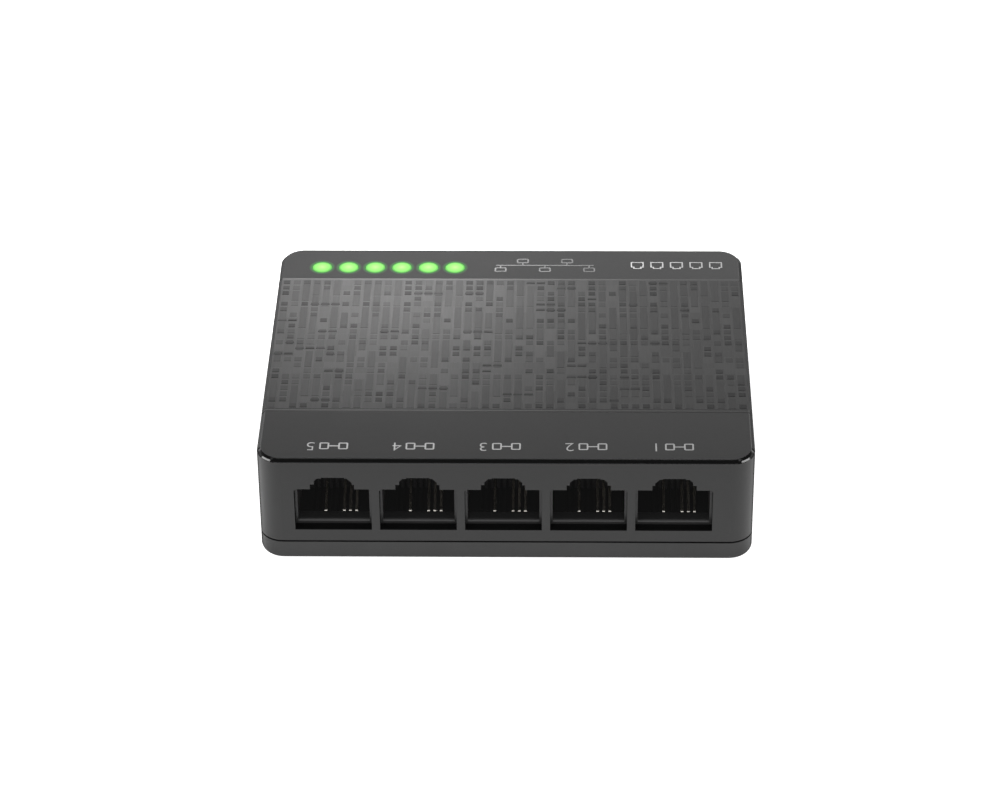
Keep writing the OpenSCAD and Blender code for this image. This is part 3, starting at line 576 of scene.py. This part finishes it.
def build_digits():
    """Port numbers over the jacks, read from the lens side, 1 to the right of someone who faces the jacks."""
    for i in range(JACKS):
        curve = bpy.data.curves.new(f"digit_{i}", "FONT")
        curve.body = str(JACKS - i)
        curve.align_x, curve.align_y = "CENTER", "CENTER"
        curve.size = 3.4 * MM
        curve.offset = -0.045 * MM
        curve.extrude = 0.012 * MM
        curve.resolution_u = 6
        o = linked("digit", curve)
        bpy.context.view_layer.update()
        mesh = bpy.data.meshes.new_from_object(o.evaluated_get(bpy.context.evaluated_depsgraph_get()))
        bpy.data.objects.remove(o)
        bm = bmesh.new()
        bm.from_mesh(mesh)
        bmesh.ops.remove_doubles(bm, verts=bm.verts, dist=1e-7)
        bm.to_mesh(mesh)
        bm.free()
        x = LABEL_MIDDLE + (i - (JACKS - 1) / 2) * LABEL_PITCH - 2.75 * MM
        place = Matrix.Translation((x, LABEL_Y, DECK_Z + 0.006 * MM)) @ Matrix.Rotation(math.pi, 4, "Z")
        mesh.transform(place)
        mesh.materials.clear()
        piece(f"port_number_{JACKS - i}", mesh, "ink")


def plug_outline(x, y, t):
    """A small plug seen end on, its latch towards -Y, as strips of thickness t."""
    a, b, h, e = 1.15 * MM, 0.5 * MM, 1.35 * MM, 0.45 * MM
    return [
        bar(x - a, y, x + a, y + t), bar(x - a, y - h, x - a + t, y), bar(x + a - t, y - h, x + a, y),
        bar(x - a, y - h - t, x - b, y - h), bar(x + b, y - h - t, x + a, y - h),
        bar(x - b - t, y - h - t - e, x - b, y - h - t), bar(x + b, y - h - t - e, x + b + t, y - h - t),
        bar(x - b, y - h - t - e, x + b, y - h - e),
    ]


def build_marks():
    """Plain pictograms: two linked boxes by each port number, boxes on one cable, and a row of plugs."""
    z0, z1 = DECK_Z - 0.01 * MM, DECK_Z + 0.015 * MM
    t = PRINT_T
    for i in range(JACKS):
        x = LABEL_MIDDLE + (i - (JACKS - 1) / 2) * LABEL_PITCH + 1.05 * MM
        link = [bar(x - 0.75 * MM, LABEL_Y - 0.13 * MM, x + 0.75 * MM, LABEL_Y + 0.13 * MM)]
        for side in (-1, 1):
            link += ring(x + side * 1.55 * MM, LABEL_Y, 1.6 * MM, 1.9 * MM, 0.3 * MM, 0.26 * MM)
        piece(f"port_link_{JACKS - i}", flat_mesh("port_link", link, z0, z1), "ink")
    cx, cy = 6.0 * MM, LENS_Y + 0.8 * MM
    shapes = [bar(cx - 8.6 * MM, cy - t / 2, cx + 8.6 * MM, cy + t / 2)]
    for k in range(5):
        x, side = cx + (k - 2) * 3.9 * MM, 1 if k % 2 else -1
        stub = sorted((cy + side * t / 2, cy + side * 0.75 * MM))
        shapes.append(bar(x - t / 2, stub[0], x + t / 2, stub[1]))
        shapes += ring(x, cy + side * 1.45 * MM, 2.1 * MM, 1.4 * MM, 0.35 * MM, t)
    # the bus pictogram's ink is painted darker, painted shade against the deck_glow lamp
    piece("bus_pictogram", flat_mesh("bus_pictogram", shapes, z0, z1), "ink_painted_darker")
    shapes = []
    for k in range(JACKS):
        shapes += plug_outline((22.3 + 3.45 * k) * MM, cy + 0.95 * MM, t)
    piece("plug_pictograms", flat_mesh("plug_pictograms", shapes, z0, z1), "ink")


def build_lens_caps():
    """A low dome of clear plastic on each lens."""
    rings, around = 7, 40
    r0, rise, foot = LENS_R - 0.04 * MM, 0.1 * MM, DECK_Z - 0.02 * MM
    for k in range(LENS_COUNT):
        bm = bmesh.new()
        cx = LENS_X0 + k * LENS_PITCH
        last = None
        for j in range(rings):
            a = j / rings * math.pi / 2
            r, z = r0 * math.cos(a), foot + rise * math.sin(a)
            loop = [bm.verts.new((cx + r * math.cos(2 * math.pi * q / around),
                                  LENS_Y + r * math.sin(2 * math.pi * q / around), z)) for q in range(around)]
            if last:
                for q in range(around):
                    bm.faces.new((last[q], last[(q + 1) % around], loop[(q + 1) % around], loop[q]))
            else:
                bm.faces.new(loop[::-1])
            last = loop
        tip = bm.verts.new((cx, LENS_Y, foot + rise))
        for q in range(around):
            bm.faces.new((last[q], last[(q + 1) % around], tip))
        for f in bm.faces:
            f.smooth = len(f.verts) <= 4
        name = f"lens_dome_{k + 1}"
        piece(name, finished_mesh(name, bm), "lens")


build_mosaic()
build_digits()
build_marks()
build_lens_caps()


# ---- Stage: floor, light and camera ----


def build_floor():
    """A pale floor, white to the camera, whose own light fades away from the case and is brightest in front."""
    bm = bmesh.new()
    size = 3.0
    bm.faces.new([bm.verts.new((x * size, y * size, 0.0)) for x, y in ((-1, -1), (1, -1), (1, 1), (-1, 1))])
    floor = linked("floor", finished_mesh("floor", bm))
    m, n = new_material("pale_floor")
    x, y = n.xyz(n.place())[0:2]
    away = n.math("SQRT", n.math("ADD", n.math("MULTIPLY", x, x), n.math("MULTIPLY", y, y)))
    front = n.ramp(y, 0.02, -0.03, 0.25, 1.0)
    under = n.math("MAXIMUM", n.math("DIVIDE", n.math("ABSOLUTE", x), SIDE_X),
                   n.math("DIVIDE", n.math("ABSOLUTE", y), COVER_HI.y))
    seen = n.math("MULTIPLY", n.math("MULTIPLY", front, n.ramp(under, 0.9, 1.15)),
                  n.ramp(away, 0.24, 0.5, 0.9, 0.0))
    seen = n.math("MULTIPLY", seen, n.ramp(y, -0.085, -0.034, 0.52, 1.04))
    lift = n.mix_value(n.add("LightPath").outputs["Is Camera Ray"], seen, 1.0)
    # painted shade: the floor's colour is darker behind the case than in front of it
    pale = n.add("BsdfDiffuse", {"Color": n.mix(front, rgb(0.45), rgb(0.82))})
    glow = n.add("Emission", {"Color": rgb(1.0), "Strength": lift})
    both = n.add("AddShader", {0: pale.outputs[0], 1: glow.outputs[0]})
    clear = n.add("BsdfTransparent")
    # clear from below, and right under the case, so that the underside is lit when it is looked at
    gone = n.math("MAXIMUM", n.add("NewGeometry").outputs["Backfacing"], n.math("LESS_THAN", under, 0.9))
    finish_surface(n, n.add("MixShader", {0: gone, 1: both.outputs[0], 2: clear.outputs[0]}).outputs[0])
    floor.data.materials.append(m)


def build_world():
    """A pale studio: a low bright back wall, a softer left side, and a dark ceiling over the camera."""
    world = bpy.data.worlds.new("studio")
    bpy.context.scene.world = world
    world.use_nodes = True
    n = Nodes(world.node_tree)
    d = n.add("TexCoord").outputs["Generated"]
    x, y, z = n.xyz(d)[0:3]
    wall = n.math("MULTIPLY", n.ramp(z, 0.62, 0.42), n.ramp(z, 0.1, 0.34))
    back = n.math("MULTIPLY", n.ramp(y, 0.05, 0.55), wall)
    low = n.ramp(z, 0.12, 0.4)
    left = n.math("MULTIPLY", n.ramp(x, -0.25, -0.8), n.math("MULTIPLY", n.ramp(z, 0.85, 0.5), low))
    right = n.math("MULTIPLY", n.ramp(x, 0.45, 0.9), n.math("MULTIPLY", n.ramp(z, 0.75, 0.45), low))
    over = n.ramp(z, 0.88, 0.97)
    level = n.math("MULTIPLY_ADD", back, 0.46, 0.10)
    level = n.math("MULTIPLY_ADD", left, 0.3, level)
    level = n.math("MULTIPLY_ADD", right, 0.22, level)
    level = n.math("MULTIPLY_ADD", over, 1.6, level)
    level = n.mix_value(n.ramp(z, 0.0, -0.05), level, 0.5)
    level = n.mix_value(n.add("LightPath").outputs["Is Camera Ray"], level, 1.0)
    sky = n.add("Background", {"Color": rgb(1.0), "Strength": level})
    n.add("OutputWorld", {"Surface": sky.outputs[0]})


def build_light(name, place, target, size, radiance, glossy=True, roll=0.0):
    """A rectangular softbox, as bright as radiance says whatever its size. roll turns it, in degrees."""
    data = bpy.data.lights.new(name, "AREA")
    data.shape = "RECTANGLE"
    data.size, data.size_y = size
    data.energy = radiance * math.pi * size[0] * size[1]
    o = linked(name, data)
    o.location = place
    o.rotation_mode = "QUATERNION"
    aim = (Vector(target) - Vector(place)).to_track_quat("-Z", "Y")
    o.rotation_quaternion = aim @ Quaternion((0.0, 0.0, 1.0), math.radians(roll))
    o.visible_camera = False
    o.visible_glossy = glossy


CAMERA_AT = (0.01006, -0.4972, 0.34423)
CAMERA_TURN = (-1.335, 33.844, -0.565)    # yaw, pitch downwards and roll, in degrees
CAMERA_LENS = 125.55


def build_camera():
    yaw, pitch, roll = (math.radians(a) for a in CAMERA_TURN)
    right = Vector((math.cos(yaw), -math.sin(yaw), 0.0))
    ahead = Vector((math.sin(yaw) * math.cos(pitch), math.cos(yaw) * math.cos(pitch), -math.sin(pitch)))
    up = right.cross(ahead)
    r = right * math.cos(roll) + up * math.sin(roll)
    u = up * math.cos(roll) - right * math.sin(roll)
    data = bpy.data.cameras.new("camera")
    data.sensor_width = 36.0
    data.lens = CAMERA_LENS
    data.clip_start = 0.01
    cam = linked("camera", data)
    cam.matrix_world = Matrix([(r[k], u[k], -ahead[k], CAMERA_AT[k]) for k in range(3)] + [(0, 0, 0, 1)])
    bpy.context.scene.camera = cam


build_floor()
build_world()
build_light("back_panel", (0.0, 0.16, 0.082), (0.0, 0.0, 0.082), (0.5, 0.075), 1.8)
# two strips, each mirrored in the bevel at a front corner
for side, name in ((-1, "corner_light_left"), (1, "corner_light_right")):
    build_light(name, (side * 0.376, -0.074, 0.268), (side * 0.0395, -0.032, 0.0207), (0.28, 0.045), 9.0,
                roll=-side * 31.0)
build_light("front_panel", (0.0, -0.30, 0.115), (0.0, 0.0, 0.01), (0.4, 0.20), 1.8)
build_light("deck_glow", (-0.020, 0.028, 0.056), (-0.020, 0.0281, 0.0), (0.03, 0.03), 33.0, glossy=False)
build_camera()
bpy.context.scene.view_settings.view_transform = "Standard"
